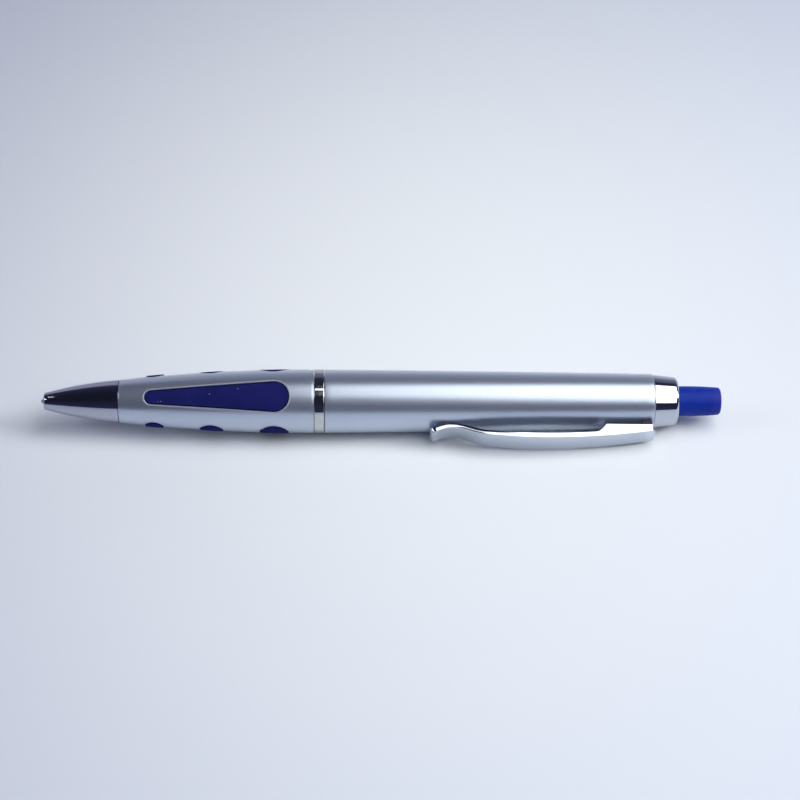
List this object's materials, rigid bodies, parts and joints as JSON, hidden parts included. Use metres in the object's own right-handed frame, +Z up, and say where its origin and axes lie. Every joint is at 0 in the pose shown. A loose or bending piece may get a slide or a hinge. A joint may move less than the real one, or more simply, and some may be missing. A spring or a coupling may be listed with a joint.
{
  "type": "erasable gel pen",
  "caption": "Push-button gel pen with a windowed rubber grip, a bowed pocket clip, a click mechanism, a gel refill and an eraser as its button.",
  "frame": {"origin": "on the table under the middle of the pen's outline as it lies there", "axes": "+X along the pen towards the button, +Z up, -Y towards the clip"},
  "size_m": [0.141, 0.0172, 0.0134],
  "materials": {
    "chrome_plate": "bright plating",
    "silver_lacquer": "satin silver lacquer over moulded plastic",
    "blue_rubber": "matte",
    "blue_eraser": "matte",
    "white_plastic": "moulded",
    "clear_plastic": "translucent",
    "blue_gel": "wet",
    "pale_grease": "translucent",
    "nickel_silver": "turned",
    "carbide": "ground",
    "spring_steel": "drawn wire"
  },
  "bodies": {
    "pen": {"nose_cone": "chrome_plate", "grip_shell": "silver_lacquer", "grip_sleeve": "blue_rubber", "grip_liner": "white_plastic", "center_ring": "chrome_plate", "rear_barrel": "silver_lacquer", "clip": "chrome_plate", "end_collar": "chrome_plate", "cam_sleeve": "white_plastic"},
    "button": {"eraser_button": "blue_eraser", "cam_plunger": "white_plastic"},
    "refill": {"writing_tip": "nickel_silver", "tip_ball": "carbide", "tip_holder": "clear_plastic", "refill_tube": "clear_plastic", "gel_ink": "blue_gel", "ink_follower": "pale_grease", "tail_plug": "white_plastic", "cam_rotor": "white_plastic", "return_spring": "spring_steel"}
  },
  "joints": [
    {"name": "button_press", "type": "slide", "parent": "pen", "child": "button", "axis": [-0.9999, 0, 0.0136], "range_m": [0, 0.005], "stiffness_N_per_m": 400, "springref_m": -0.004},
    {"name": "refill_advance", "type": "slide", "parent": "pen", "child": "refill", "axis": [-0.9999, 0, 0.0136], "range_m": [0, 0.005], "deforming": ["return_spring"]}
  ],
  "couplings": [
    {"joint": "refill_advance", "follows": "button_press", "ratio": 1}
  ]
}
